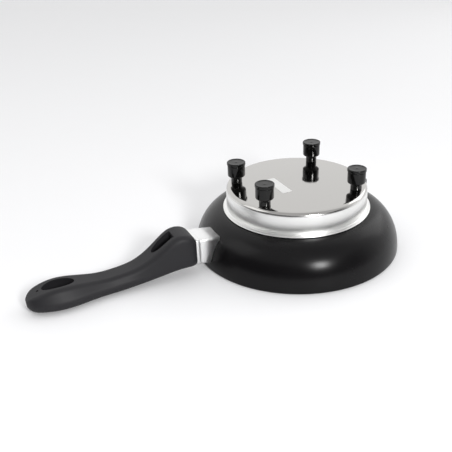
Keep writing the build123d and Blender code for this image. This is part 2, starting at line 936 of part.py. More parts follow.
def inlet_body():
    """Moulded inlet: shroud through the wall, flange outside, back wall inside."""
    face_x = cup_radius + inlet_flange_proud
    body = inlet_outline(inlet_width, inlet_depth_height, inlet_back_x, face_x, inlet_corner_radius)
    flange = inlet_outline(
        inlet_flange_width, inlet_flange_height, inlet_back_x + inlet_back_wall, face_x,
        inlet_corner_radius,
    )
    body += flange - disc(cup_radius + thread_clearance, cup_top_height, 0, 0, 0)
    body -= inlet_outline(
        inlet_socket_width, inlet_socket_height, inlet_back_x + inlet_back_wall,
        face_x + inlet_corner_radius, inlet_corner_radius,
    )
    for place in (-1, 0, 1):
        body -= inlet_pin(place)
    return body


def inlet_pin(place):
    """A flat pin with its tail, at a place counted from the middle."""
    y = place * pin_pitch
    tip = pin_tip_x if place else pin_tip_x + earth_pin_extra
    return block(
        pin_tail_x, tip, y - pin_width / 2, y + pin_width / 2,
        lead_height - pin_thickness / 2, lead_height + pin_thickness / 2,
    )


def inlet_retainer():
    """Spring frame pushed over the inlet against the inside of the wall."""
    half = inlet_width / 2 + retainer_rim
    frame = inlet_outline(
        2 * half, inlet_depth_height + retainer_rim, retainer_x, retainer_x + retainer_sheet,
        inlet_corner_radius,
    )
    return frame - inlet_outline(
        inlet_width + thread_clearance, inlet_depth_height + thread_clearance,
        retainer_x - retainer_sheet, retainer_x + 2 * retainer_sheet, inlet_corner_radius,
    )


def main():
    """Write one file for each sub-part."""
    os.makedirs("parts", exist_ok=True)
    parts = {
        "pan_body": [pan_body()],
        "base_cup": [base_cup()],
        "blank_label": [blank_label()],
        "foot_inserts": [foot_insert(angle) for name, angle in foot_places],
        "base_studs": [base_stud(angle) for name, angle in foot_places],
        "handle_ferrule": [handle_ferrule()],
        "handle_grip": [handle_grip()],
        "handle_screw": [handle_screw()],
        "handle_washer": [handle_washer()],
        "heating_element": [heating_element()],
        "element_beads": [element_bead(side) for side in (-1, 1)],
        "element_terminals": [element_terminal(side) for side in (-1, 1)],
        "reflector_plate": [reflector_plate()],
        "reflector_screw": [reflector_screw()],
        "thermostat_cap": [thermostat_cap()],
        "bimetal_disc": [bimetal_disc()],
        "thermostat_guide": [thermostat_guide()],
        "thermostat_pin": [thermostat_pin()],
        "thermostat_body": [thermostat_body()],
        "arm_terminal": [arm_terminal()],
        "contact_terminal": [contact_terminal()],
        "contact_arm": [contact_arm()],
        "moving_contact": [moving_contact()],
        "fixed_contact": [fixed_contact()],
        "thermostat_clip": [thermostat_clip()],
        "clip_screws": [clip_screw(side) for side in (-1, 1)],
        "line_lead": [line_lead()],
        "switched_lead": [switched_lead()],
        "thermal_fuse": [thermal_fuse()],
        "element_lead": [element_lead()],
        "neutral_lead": [neutral_lead()],
        "earth_lead": [earth_lead()],
        "earth_tag": [earth_tag()],
        "earth_screw": [earth_screw()],
        "inlet_body": [inlet_body()],
        "line_pin": [inlet_pin(-1)],
        "earth_pin": [inlet_pin(0)],
        "neutral_pin": [inlet_pin(1)],
        "inlet_retainer": [inlet_retainer()],
    }
    for name, angle in foot_places:
        parts["foot_" + name] = [foot(angle)]
    for name, shapes in parts.items():
        whole = shapes[0] if len(shapes) == 1 else Compound(children=shapes)
        export_step(whole, os.path.join("parts", name + ".step"))


main()
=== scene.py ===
import json
import math

import bmesh
import bpy
from bpy.props import FloatProperty, FloatVectorProperty, IntProperty, PointerProperty
from mathutils import Matrix, Vector


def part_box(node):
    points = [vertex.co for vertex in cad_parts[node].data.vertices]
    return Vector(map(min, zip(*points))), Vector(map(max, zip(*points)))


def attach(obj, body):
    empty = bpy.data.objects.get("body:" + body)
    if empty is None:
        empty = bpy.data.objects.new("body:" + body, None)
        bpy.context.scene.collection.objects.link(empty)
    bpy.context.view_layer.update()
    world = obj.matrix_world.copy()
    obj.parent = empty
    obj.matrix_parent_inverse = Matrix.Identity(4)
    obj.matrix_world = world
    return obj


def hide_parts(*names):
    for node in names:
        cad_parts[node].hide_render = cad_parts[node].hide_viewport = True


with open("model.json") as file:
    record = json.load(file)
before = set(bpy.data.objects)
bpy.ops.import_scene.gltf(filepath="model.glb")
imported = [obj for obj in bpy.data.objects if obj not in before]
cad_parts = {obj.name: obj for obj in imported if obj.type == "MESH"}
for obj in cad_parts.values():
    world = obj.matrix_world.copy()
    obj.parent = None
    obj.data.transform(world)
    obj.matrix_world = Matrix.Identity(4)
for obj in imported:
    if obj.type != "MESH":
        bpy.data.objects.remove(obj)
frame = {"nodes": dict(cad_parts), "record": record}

bl_info = {
    "name": "Electric frying pan",
    "version": (1, 0, 0),
    "blender": (4, 5, 0),
    "location": "3D View > Sidebar > Frying pan",
    "description": "Finishes and meshes of a small electric frying pan stored upside down",
    "category": "Object",
}

STEPS = ["finishes", "stage", "pan", "cup", "ferrule", "feet"]
FEET = [
    "foot_handle_side_left",
    "foot_handle_side_right",
    "foot_inlet_side_left",
    "foot_inlet_side_right",
]
LEAD_COLOURS = {
    "lead_sleeve": (0.35, 0.10, 0.05),
    "lead_sleeve_pale": (0.10, 0.14, 0.32),
    "lead_sleeve_green": (0.12, 0.26, 0.04),
}
FINISH = "_finish"
QUARTER = math.pi / 2

# Most of a noise texture's values lie between these two
NOISE_LOW = 0.3
NOISE_HIGH = 0.7

# How far a material's roughness strays from its own value, as a share of it
SPECKLE_STRAY = 0.12
HAIRLINE_STRAY = 0.3

# A turned outline's point nearer to the axis than this is a pole
POLE_RADIUS = 1e-7

# The most of a straight stretch that the rounding of one corner takes
CORNER_SHARE = 0.45


def colour_property(name, description, default):
    """A colour that the panel shows."""
    return FloatVectorProperty(
        name=name, description=description, subtype="COLOR", size=3, min=0.0, max=1.0, default=default
    )


def place_property(name, description, default):
    """A point in metres."""
    return FloatVectorProperty(
        name=name, description=description, subtype="TRANSLATION", size=3, default=default
    )


def share_property(name, description, default):
    """A value from nothing to full."""
    return FloatProperty(name=name, description=description, min=0.0, max=1.0, default=default)


def length_property(name, description, default):
    """A length in metres."""
    return FloatProperty(name=name, description=description, unit="LENGTH", default=default)


def angle_property(name, description, degrees):
    """An angle, given in degrees."""
    return FloatProperty(
        name=name, description=description, subtype="ANGLE", default=math.radians(degrees)
    )


def power_property(name, description, default):
    """A lamp's power in watts."""
    return FloatProperty(name=name, description=description, unit="POWER", default=default)


def number_property(name, description, default):
    """A plain number."""
    return FloatProperty(name=name, description=description, default=default)


def count_property(name, description, least, default):
    """A number of sides or steps."""
    return IntProperty(name=name, description=description, min=least, default=default)


class PanFinish(bpy.types.PropertyGroup):
    """Colours and gloss of the outer pieces."""

    coating_colour: colour_property("Coating", "Satin black coating of the pan", (0.0045, 0.0042, 0.0047))
    coating_roughness: share_property("Coating roughness", "Softness of the coating's gloss", 0.26)
    steel_colour: colour_property("Steel", "Polished steel of the base", (0.50, 0.49, 0.475))
    steel_roughness: share_property("Steel roughness", "Softness of the polish", 0.07)
    wall_colour: colour_property("Cup wall", "Satin steel of the cup's wall", (0.84, 0.84, 0.83))
    wall_roughness: share_property("Cup wall roughness", "Softness of the wall's gloss", 0.36)
    ferrule_colour: colour_property("Ferrule", "Bright sheet steel of the ferrule", (0.86, 0.86, 0.86))
    ferrule_roughness: share_property("Ferrule roughness", "Softness of the ferrule's gloss", 0.42)
    grip_colour: colour_property("Grip", "Charcoal moulding of the grip", (0.0155, 0.015, 0.0172))
    grip_roughness: share_property("Grip roughness", "Softness of the grip's gloss", 0.52)
    foot_colour: colour_property("Feet", "Glossy moulding of the feet", (0.003, 0.003, 0.0028))
    foot_roughness: share_property("Foot roughness", "Softness of the feet's gloss", 0.12)
    label_colour: colour_property("Label", "Plain strip on the base", (0.70, 0.70, 0.69))


class FootSizes(bpy.types.PropertyGroup):
    """The turned feet."""

    neck_radius: length_property("Neck radius", "Radius of a foot's neck", 0.0054)
    body_radius: length_property("Body radius", "Radius of a foot's body", 0.0085)
    lip_radius: length_property("Lip radius", "Radius of the lip under the face", 0.009)
    neck_height: length_property("Neck height", "Length of the neck", 0.0052)
    chamfer: length_property("Chamfer", "Height of the slope above the neck", 0.0022)
    lip_height: length_property("Lip height", "Height of the lip", 0.0028)
    notch_height: length_property("Notch height", "Height of the groove under the lip", 0.0006)
    notch_depth: length_property("Notch depth", "Depth of the groove under the lip", 0.00035)
    dish_radius: length_property("Dish radius", "Radius of the hollow in the face", 0.007)
    dish_depth: length_property("Dish depth", "Depth of the hollow in the face", 0.0004)
    dish_slope: length_property("Dish slope", "Width of the slope round the hollow", 0.0003)
    dot_radius: length_property("Dot radius", "Radius of the dot in the hollow", 0.0009)
    dot_height: length_property("Dot height", "Height of the dot in the hollow", 0.00025)
    dot_slope: length_property("Dot slope", "Width of the slope round the dot", 0.0002)
    softness: length_property("Softness", "Largest radius of a rounded edge", 0.0008)
    crease: angle_property("Crease", "Angle above which an edge stays sharp", 50)
    facets: count_property("Facets", "Sides of a turned foot", 24, 72)
    soft_steps: count_property("Edge steps", "Steps round each rounded edge", 1, 4)


class PanSizes(bpy.types.PropertyGroup):
    """The cast pan."""

    radius: length_property("Radius", "Radius at the rim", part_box("pan_body")[1][0])
    height: length_property("Height", "Height of the pan", 0.0409)
    flat_radius: length_property("Flat radius", "Radius where the side starts to curve", 0.069)
    wall: length_property("Wall", "Thickness of the side", 0.003)
    floor: length_property("Floor", "Thickness of the cooking surface", 0.004)
    edge: length_property("Edge", "Radius of the rim's outer edge", 0.0015)
    inner_edge: length_property("Inner edge", "Radius of the rim's inner edge", 0.0006)
    lug_width: length_property("Lug width", "Width of the handle's lug", 0.014)
    lug_thickness: length_property("Lug thickness", "Height of the handle's lug", 0.011)
    lug_face: length_property("Lug face", "Distance of the lug's face from the axis", 0.1039)
    lug_length: length_property("Lug length", "How far the lug runs into the side", 0.0125)
    lug_middle: length_property("Lug middle", "Height of the lug's middle", 0.0265)
    lug_tilt: angle_property("Lug tilt", "Slope of the lug along the handle screw", 7)
    reflector_boss: number_property("Reflector boss", "Its radius over half the earth tag's width", 4 / 3)
    clip_boss: number_property("Clip bosses", "Their radius over half the earth tag's width", 2 / 3)
    clip_inset: number_property("Clip inset", "Clip's end to its boss, over the clip's width", 1 / 4.7)
    crease: angle_property("Crease", "Angle above which an edge stays sharp", 35)
    facets: count_property("Facets", "Sides of the turned pan", 48, 320)
    boss_facets: count_property("Boss facets", "Sides of a boss", 12, 48)
    side_steps: count_property("Side steps", "Steps down the curved side", 8, 40)
    edge_steps: count_property("Edge steps", "Steps round each edge of the rim", 2, 6)


class CupSizes(bpy.types.PropertyGroup):
    """The drawn cup of the base."""

    wall_radius: length_property("Wall radius", "Radius of the cup's wall", 0.0682)
    corner_radius: length_property("Corner radius", "Radius between the flat and the wall", 0.0048)
    sheet: length_property("Sheet", "Thickness of the steel", 0.0008)
    cove_height: length_property("Cove height", "Where the wall starts to flare, above the lip", 0.0019)
    lip_radius: length_property("Lip roll", "Radius of the rolled lip", 0.0006)
    groove_depth: length_property("Groove depth", "Depth of the groove over the flare", 0.0003)
    groove_height: length_property("Groove height", "Height of the groove over the flare", 0.0005)
    opening_width: length_property("Opening width", "Width of the inlet's opening", 0.0294)
    opening_height: length_property("Opening height", "Height of the inlet's opening", 0.0124)
    polish_drop: length_property("Polish drop", "How far below the flat the polish starts to fade", 0.0016)
    polish_blend: length_property("Polish blend", "Height over which the polish fades", 0.0024)
    crease: angle_property("Crease", "Angle above which an edge stays sharp", 40)
    facets: count_property("Facets", "Sides of the turned cup", 48, 256)
    corner_steps: count_property("Corner steps", "Steps between the flat and the wall", 4, 12)
    cove_steps: count_property("Cove steps", "Steps down the flare", 4, 8)
    lip_steps: count_property("Lip steps", "Steps round the lip", 4, 10)


class FerruleSizes(bpy.types.PropertyGroup):
    """The bright tube between the pan and the grip."""

    width: length_property("Width", "Width of the tube", 2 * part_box("handle_ferrule")[1][1])
    corner_radius: length_property("Corner radius", "Radius of the tube's long edges", 0.0028)
    root: length_property("Root", "Distance of the root section from the pan's axis", 0.082)
    root_bottom: length_property("Root bottom", "Underside at the root section", 0.0080)
    root_top: length_property("Root top", "Top at the root section", 0.0325)
    end: length_property("End", "Distance of the tube's end from the axis", -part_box("handle_ferrule")[0][0])
    end_bottom: length_property("End bottom", "Underside at the grip", 0.0098)
    end_top: length_property("End top", "Top at the grip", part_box("handle_ferrule")[1][2])
    end_roll: length_property("End roll", "How far the tube's end turns in", 0.0004)
    groove_inset: length_property("Groove inset", "Distance of the pressed groove from the grip", 0.0046)
    groove_depth: length_property("Groove depth", "Depth of the pressed groove", 0.0004)
    groove_step: length_property("Groove step", "Width of each quarter of the pressed groove", 0.0008)
    groove_shoulder: share_property("Groove shoulder", "Share of its depth a quarter of the way across", 0.8)
    pan_gap: length_property("Pan gap", "Gap between the tube and the pan's side", 0.0002)
    sheet: length_property("Sheet", "Thickness of the sheet steel", 0.0004)
    crease: angle_property("Crease", "Angle above which an edge stays sharp", 50)
    corner_steps: count_property("Corner steps", "Steps round each long edge", 2, 6)


class StageSettings(bpy.types.PropertyGroup):
    """Camera, floor, studio and lights."""

    lens: number_property("Lens", "Focal length in millimetres", 53.69)
    sensor: number_property("Sensor", "Width of the sensor in millimetres", 36.0)
    near_clip: length_property("Near clip", "The nearest that the camera sees", 0.01)
    pitch: angle_property("Pitch", "How far the camera looks down", 27.39)
    heading: angle_property("Heading", "Turn of the camera about Z", -23.54)
    roll: angle_property("Roll", "Tilt of the camera about its own line of sight", -2.44)
    place: place_property("Camera place", "Where the camera stands", (-0.3029, -0.5206, 0.3299))
    floor_colour: colour_property("Floor", "Plain pale floor", (0.86, 0.86, 0.87))
    floor_glow: number_property("Floor glow", "Light that the floor gives by itself", 0.04)
    floor_radius: length_property("Floor radius", "Half the width of the floor", 12.0)
    floor_drop: length_property("Floor drop", "How far the floor lies under the pan's rim", 0.0002)
    world_strength: number_property("World", "Strength of the even light", 1.1)
    overhead_light: number_property("Overhead", "Least brightness of the studio overhead", 0.62)
    overhead_start: number_property("Overhead start", "Height at which the overhead light begins", 0.40)
    overhead_full: number_property("Overhead full", "Height at which the overhead light is full", 0.65)
    shade_light: number_property("Shaded side", "Brightness low on the near side", 0.06)
    shade_start: number_property("Shade start", "How near to the dark side the shade begins", -0.35)
    shade_full: number_property("Shade full", "How near to the dark side the shade is full", 0.4)
    shade_side: place_property("Shaded direction", "Where the studio is dark", (-0.5, -0.866, 0.0))
    near_place: place_property("Near box", "The box of the pan's highlight", (-0.033, -1.124, 0.633))
    near_size: length_property("Near box size", "Side of the near box", 0.24)
    near_power: power_property("Near box power", "Power of the near box", 10.0)
    right_place: place_property("Right box", "Place of the right box", (1.25, 0.25, 0.75))
    right_size: length_property("Right box size", "Side of the right box", 0.8)
    right_power: power_property("Right box power", "Power of the right box", 2.5)
    left_place: place_property("Left box", "Place of the left box", (-1.1, 0.35, 1.0))
    left_size: length_property("Left box size", "Side of the left box", 0.8)
    left_power: power_property("Left box power", "Power of the left box", 2.0)


def settings():
    """The add-on's values in this scene."""
    return bpy.context.scene.frying_pan


def material(name):
    """A new material with its shader, and its node tree."""
    made = bpy.data.materials.new(name + FINISH)
    made.use_nodes = True
    tree = made.node_tree
    tree.nodes.clear()
    shader = tree.nodes.new("ShaderNodeBsdfPrincipled")
    output = tree.nodes.new("ShaderNodeOutputMaterial")
    tree.links.new(shader.outputs["BSDF"], output.inputs["Surface"])
    return made, tree, shader


def finish(name):
    """The material made here for a slot. The frame keeps a plain one under the slot's own name."""
    return bpy.data.materials[name + FINISH]


def new_group(name, inputs, outputs):
    """A shader node group with named inputs and outputs."""
    group = bpy.data.node_groups.new(name, "ShaderNodeTree")
    for label, kind, value in inputs:
        socket = group.interface.new_socket(name=label, in_out="INPUT", socket_type=kind)
        socket.default_value = value
    for label, kind in outputs:
        group.interface.new_socket(name=label, in_out="OUTPUT", socket_type=kind)
    entry = group.nodes.new("NodeGroupInput")
    leave = group.nodes.new("NodeGroupOutput")
    return group, entry, leave


def noise(group, vector, scale, detail, roughness):
    """A noise texture's value, from a vector socket and a scale socket."""
    node = group.nodes.new("ShaderNodeTexNoise")
    node.inputs["Detail"].default_value = detail
    node.inputs["Roughness"].default_value = roughness
    group.links.new(vector, node.inputs["Vector"])
    group.links.new(scale, node.inputs["Scale"])
    return node.outputs["Fac"]


def add_gloss(group, entry, leave, value):
    """Spreads a noise between the group's two gloss inputs."""
    node = group.nodes.new("ShaderNodeMapRange")
    node.inputs["From Min"].default_value = NOISE_LOW
    node.inputs["From Max"].default_value = NOISE_HIGH
    group.links.new(value, node.inputs["Value"])
    group.links.new(entry.outputs["Gloss low"], node.inputs["To Min"])
    group.links.new(entry.outputs["Gloss high"], node.inputs["To Max"])
    group.links.new(node.outputs["Result"], leave.inputs["Roughness"])


def add_bump(group, entry, leave, height, distance):
    """A bump as strong as the group's own input says."""
    node = group.nodes.new("ShaderNodeBump")
    node.inputs["Distance"].default_value = distance
    group.links.new(entry.outputs["Bump"], node.inputs["Strength"])
    group.links.new(height, node.inputs["Height"])
    group.links.new(node.outputs["Normal"], leave.inputs["Normal"])


def build_speckle_group():
    """Fine speckle: a little variation of colour and gloss, and a fine bump."""
    group, entry, leave = new_group(
        "fine_speckle",
        [
            ("Dark", "NodeSocketColor", (0.0, 0.0, 0.0, 1.0)),
            ("Light", "NodeSocketColor", (1.0, 1.0, 1.0, 1.0)),
            ("Grain", "NodeSocketFloat", 2500.0),
            ("Patch", "NodeSocketFloat", 18.0),
            ("Gloss low", "NodeSocketFloat", 0.3),
            ("Gloss high", "NodeSocketFloat", 0.4),
            ("Bump", "NodeSocketFloat", 0.05),
        ],
        [("Color", "NodeSocketColor"), ("Roughness", "NodeSocketFloat"), ("Normal", "NodeSocketVector")],
    )
    point = group.nodes.new("ShaderNodeTexCoord").outputs["Object"]
    grain = noise(group, point, entry.outputs["Grain"], detail=3.0, roughness=0.55)
    patch = noise(group, point, entry.outputs["Patch"], detail=4.0, roughness=0.6)
    mix = group.nodes.new("ShaderNodeMix")
    mix.data_type = "RGBA"
    group.links.new(patch, mix.inputs["Factor"])
    group.links.new(entry.outputs["Dark"], mix.inputs["A"])
    group.links.new(entry.outputs["Light"], mix.inputs["B"])
    group.links.new(mix.outputs["Result"], leave.inputs["Color"])
    add_gloss(group, entry, leave, patch)
    add_bump(group, entry, leave, grain, distance=0.0002)


def build_hairline_group():
    """Fine lines left by polishing, packed closer along the axes that are stretched."""
    group, entry, leave = new_group(
        "hairlines",
        [
            ("Stretch", "NodeSocketVector", (1.0, 1.0, 1.0)),
            ("Scale", "NodeSocketFloat", 900.0),
            ("Gloss low", "NodeSocketFloat", 0.05),
            ("Gloss high", "NodeSocketFloat", 0.12),
            ("Bump", "NodeSocketFloat", 0.02),
        ],
        [("Roughness", "NodeSocketFloat"), ("Normal", "NodeSocketVector")],
    )
    place = group.nodes.new("ShaderNodeTexCoord")
    scaled = group.nodes.new("ShaderNodeVectorMath")
    scaled.operation = "MULTIPLY"
    group.links.new(place.outputs["Object"], scaled.inputs[0])
    group.links.new(entry.outputs["Stretch"], scaled.inputs[1])
    lines = noise(group, scaled.outputs["Vector"], entry.outputs["Scale"], detail=2.0, roughness=0.5)
    add_gloss(group, entry, leave, lines)
    add_bump(group, entry, leave, lines, distance=0.00005)


def place_group(tree, shader, name, values):
    """Puts an effect in a material with its own values, and joins it to the shader."""
    node = tree.nodes.new("ShaderNodeGroup")
    node.node_tree = bpy.data.node_groups[name]
    for label, value in values.items():
        node.inputs[label].default_value = value
    tree.links.new(node.outputs["Roughness"], shader.inputs["Roughness"])
    tree.links.new(node.outputs["Normal"], shader.inputs["Normal"])
    return node


def shade(colour, factor):
    """A colour made lighter or darker, with its alpha."""
    return tuple(min(1.0, part * factor) for part in colour) + (1.0,)


def speckled(name, colour, roughness, vary, grain, bump, gloss=0.5):
    """A material whose colour and gloss vary a little over the surface."""
    made, tree, shader = material(name)
    group = place_group(tree, shader, "fine_speckle", {
        "Dark": shade(colour, 1.0 - vary),
        "Light": shade(colour, 1.0 + vary),
        "Grain": grain,
        "Gloss low": roughness * (1.0 - SPECKLE_STRAY),
        "Gloss high": roughness * (1.0 + SPECKLE_STRAY),
        "Bump": bump,
    })
    tree.links.new(group.outputs["Color"], shader.inputs["Base Color"])
    shader.inputs["Specular IOR Level"].default_value = gloss
    return made


def hairlined(name, colour, roughness, stretch, scale, bump):
    """A metal with fine polishing lines."""
    made, tree, shader = material(name)
    place_group(tree, shader, "hairlines", {
        "Stretch": stretch,
        "Scale": scale,
        "Gloss low": roughness * (1.0 - HAIRLINE_STRAY),
        "Gloss high": roughness * (1.0 + HAIRLINE_STRAY),
        "Bump": bump,
    })
    shader.inputs["Base Color"].default_value = shade(colour, 1.0)
    shader.inputs["Metallic"].default_value = 1.0
    return made


def satin_below(made, height, blend, colour, roughness):
    """Gives a polished metal another colour and a satin gloss below a height."""
    tree = made.node_tree
    shader = tree.nodes["Principled BSDF"]
    polish = shader.inputs["Roughness"].links[0].from_socket
    place = tree.nodes.new("ShaderNodeTexCoord")
    split = tree.nodes.new("ShaderNodeSeparateXYZ")
    tree.links.new(place.outputs["Object"], split.inputs["Vector"])
    mask = tree.nodes.new("ShaderNodeMapRange")
    mask.inputs["From Min"].default_value = height - blend
    mask.inputs["From Max"].default_value = height
    tree.links.new(split.outputs["Z"], mask.inputs["Value"])
    paint = tree.nodes.new("ShaderNodeMix")
    paint.data_type = "RGBA"
    paint.inputs["A"].default_value = shade(colour, 1.0)
    paint.inputs["B"].default_value = shader.inputs["Base Color"].default_value
    gloss = tree.nodes.new("ShaderNodeMix")
    gloss.inputs["A"].default_value = roughness
    tree.links.new(polish, gloss.inputs["B"])
    for node in (paint, gloss):
        tree.links.new(mask.outputs["Result"], node.inputs["Factor"])
    tree.links.new(paint.outputs["Result"], shader.inputs["Base Color"])
    tree.links.new(gloss.outputs["Result"], shader.inputs["Roughness"])


def dress(obj, made):
    """Gives an object one material."""
    obj.data.materials.clear()
    obj.data.materials.append(made)


def link(name, mesh):
    """Puts a mesh in the scene as an object at the origin."""
    obj = bpy.data.objects.new(name, mesh)
    bpy.context.scene.collection.objects.link(obj)
    return obj


def smooth(mesh, angle):
    """Smooth shading, with sharp edges above an angle."""
    for face in mesh.polygons:
        face.use_smooth = True
    mesh.set_sharp_from_angle(angle=angle)


def centre_of(node):
    """The middle of a node's box."""
    low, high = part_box(node)
    return (Vector(low) + Vector(high)) / 2


def finish_modifiers(context, obj):
    """Turns an object's modifiers into its own plain mesh."""
    context.view_layer.update()
    evaluated = obj.evaluated_get(context.evaluated_depsgraph_get())
    mesh = bpy.data.meshes.new_from_object(evaluated)
    obj.modifiers.clear()
    old = obj.data
    obj.data = mesh
    bpy.data.meshes.remove(old)


def mesh_from(name, work):
    """A named mesh from a bmesh, which is freed."""
    mesh = bpy.data.meshes.new(name)
    work.to_mesh(mesh)
    work.free()
    return mesh


def bridge(work, rows):
    """Outward faces between rows of points, closed all round. A row of one point is a pole."""
    sides = max(len(row) for row in rows)
    for low, high in zip(rows[:-1], rows[1:]):
        for step in range(sides):
            after = (step + 1) % sides
            around = [low[step % len(low)], low[after % len(low)]]
            around += [high[after % len(high)], high[step % len(high)]]
            work.faces.new(list(dict.fromkeys(around)))
    bmesh.ops.recalc_face_normals(work, faces=work.faces)


def turned_mesh(name, outline, sides):
    """A closed mesh turned about Z from points of radius and height, with a pole at each end."""
    work = bmesh.new()
    rows = []
    for radius, height in outline:
        count = 1 if radius < POLE_RADIUS else sides
        angles = [2 * math.pi * step / count for step in range(count)]
        rows.append([
            work.verts.new((radius * math.cos(angle), radius * math.sin(angle), height)) for angle in angles
        ])
    bridge(work, rows)
    return mesh_from(name, work)


def turns(start, end, steps):
    """Evenly spaced angles from start to end."""
    return [start + (end - start) * step / steps for step in range(steps + 1)]


def arc(radius, height, size, angles):
    """Points on a circle about a centre, as radius and height."""
    return [(radius + size * math.cos(angle), height + size * math.sin(angle)) for angle in angles]


def rounded(points, radius, steps):
    """A path of radius and height with each inner corner rounded."""
    path = [Vector(points[0])]
    for before, here, after in zip(points[:-2], points[1:-1], points[2:]):
        here = Vector(here)
        back = Vector(before) - here
        ahead = Vector(after) - here
        reach = min(radius, back.length * CORNER_SHARE, ahead.length * CORNER_SHARE)
        start = here + back.normalized() * reach
        end = here + ahead.normalized() * reach
        for step in range(steps + 1):
            share = step / steps
            path.append(start * (1 - share) ** 2 + here * 2 * share * (1 - share) + end * share ** 2)
    path.append(Vector(points[-1]))
    return [(point.x, point.y) for point in path]


class FRYINGPAN_OT_finishes(bpy.types.Operator):
    """Build the shared effects and give each sub-part its finish"""

    bl_idname = "frying_pan.finishes"
    bl_label = "Finishes"

    def execute(self, context):
        build_speckle_group()
        build_hairline_group()
        self.metals_outside(settings().finish, settings().cup)
        self.mouldings_outside(settings().finish)
        self.metals_inside()
        self.mouldings_inside()
        for part in frame["record"]["subparts"]:
            dress(frame["nodes"][part["node"]], finish(part["material_slot"]))
        return {"FINISHED"}

    def metals_outside(self, values, cup):
        """The base cup, polished on its flat and satin down its wall, and the ferrule."""
        steel = hairlined(
            "polished_steel", values.steel_colour, values.steel_roughness,
            stretch=(1.0, 1.0, 14.0), scale=500.0, bump=0.015,
        )
        polish_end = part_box("base_cup")[1][2] - cup.polish_drop
        satin_below(steel, polish_end, cup.polish_blend, values.wall_colour, values.wall_roughness)
        hairlined(
            "bright_ferrule", values.ferrule_colour, values.ferrule_roughness,
            stretch=(1.0, 22.0, 22.0), scale=260.0, bump=0.05,
        )

    def mouldings_outside(self, values):
        """The pan's coating, the label strip, the grip, the feet and the inlet."""
        speckled(
            "pan_coating", values.coating_colour, values.coating_roughness,
            vary=0.2, grain=1800.0, bump=0.04, gloss=0.18,
        )
        speckled("label", values.label_colour, 0.4, vary=0.15, grain=3000.0, bump=0.02)
        speckled(
            "grip_plastic", values.grip_colour, values.grip_roughness,
            vary=0.15, grain=3200.0, bump=0.12, gloss=0.3,
        )
        speckled(
            "foot_plastic", values.foot_colour, values.foot_roughness,
            vary=0.2, grain=1500.0, bump=0.03, gloss=0.3,
        )
        speckled("inlet_plastic", (0.012, 0.012, 0.012), 0.4, vary=0.15, grain=2600.0, bump=0.08)

    def metals_inside(self):
        """Screws, the element's sheath, terminals, the reflector, the thermostat and its contacts."""
        hairlined("screw_steel", (0.62, 0.62, 0.62), 0.28, stretch=(1.0, 1.0, 6.0), scale=900.0, bump=0.05)
        hairlined("sheath_steel", (0.22, 0.20, 0.19), 0.42, stretch=(1.0, 1.0, 1.0), scale=700.0, bump=0.05)
        hairlined("brass", (0.78, 0.57, 0.26), 0.25, stretch=(1.0, 1.0, 4.0), scale=800.0, bump=0.04)
        hairlined("reflector", (0.75, 0.75, 0.74), 0.3, stretch=(1.0, 16.0, 1.0), scale=300.0, bump=0.05)
        hairlined("cap_aluminium", (0.78, 0.78, 0.78), 0.25, stretch=(1.0, 1.0, 8.0), scale=600.0, bump=0.04)
        hairlined("bimetal", (0.50, 0.47, 0.43), 0.3, stretch=(1.0, 12.0, 1.0), scale=500.0, bump=0.04)
        hairlined("silver", (0.88, 0.87, 0.84), 0.2, stretch=(1.0, 1.0, 1.0), scale=900.0, bump=0.03)

    def mouldings_inside(self):
        """The thermostat's body, the ceramic pieces and the woven sleeves of the leads."""
        speckled("inner_moulding", (0.05, 0.02, 0.012), 0.45, vary=0.3, grain=1200.0, bump=0.06)
        speckled("ceramic", (0.80, 0.77, 0.70), 0.6, vary=0.08, grain=2200.0, bump=0.1)
        for name, colour in LEAD_COLOURS.items():
            speckled(name, colour, 0.75, vary=0.3, grain=4000.0, bump=0.4)


